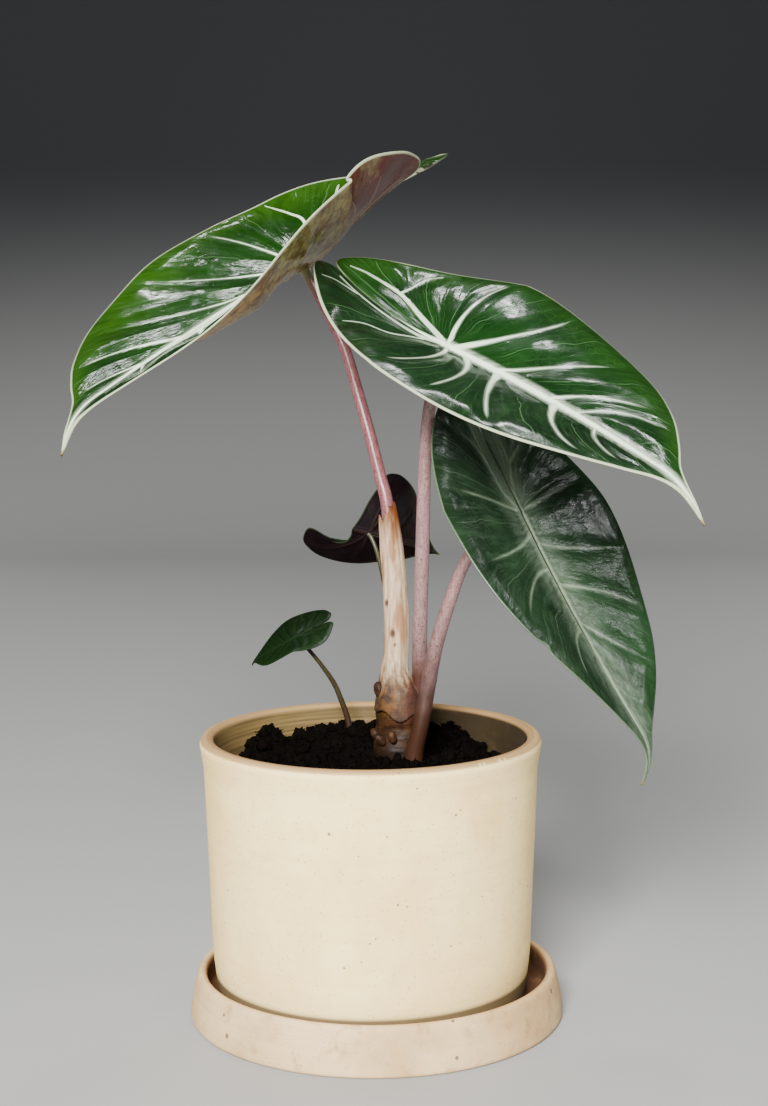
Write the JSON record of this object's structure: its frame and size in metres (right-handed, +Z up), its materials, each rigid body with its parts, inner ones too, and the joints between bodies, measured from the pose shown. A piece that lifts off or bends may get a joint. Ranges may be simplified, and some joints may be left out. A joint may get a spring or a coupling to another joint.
{
  "type": "potted alocasia plant",
  "caption": "Potted alocasia with arrow-shaped, white-veined leaves on pink stalks, in a plain cylindrical stoneware pot standing in a round saucer.",
  "frame": {"origin": "centre of the saucer's flat underside, on the surface that it stands on", "axes": "+Z up, -Y towards the viewer of the picture, +X to the viewer's right"},
  "size_m": [0.2411, 0.2269, 0.381],
  "materials": {
    "saucer": "matte",
    "pot": "matte",
    "soil": "matte",
    "corm": "satin",
    "sheath": "matte",
    "stalk": "gloss",
    "small_stalk": "satin",
    "leaf": "gloss",
    "grey_leaf": "satin",
    "dark_leaf": "satin"
  },
  "bodies": {
    "root": {"saucer": "saucer", "pot": "pot", "soil": "soil", "corm": "corm", "sheath": "sheath", "petiole_a": "stalk", "petiole_b": "stalk", "petiole_c": "stalk", "petiole_d": "small_stalk", "petiole_e": "small_stalk", "leaf_a": "leaf", "leaf_b": "leaf", "leaf_c": "grey_leaf", "leaf_d": "dark_leaf", "leaf_e": "leaf"}
  },
  "joints": []
}
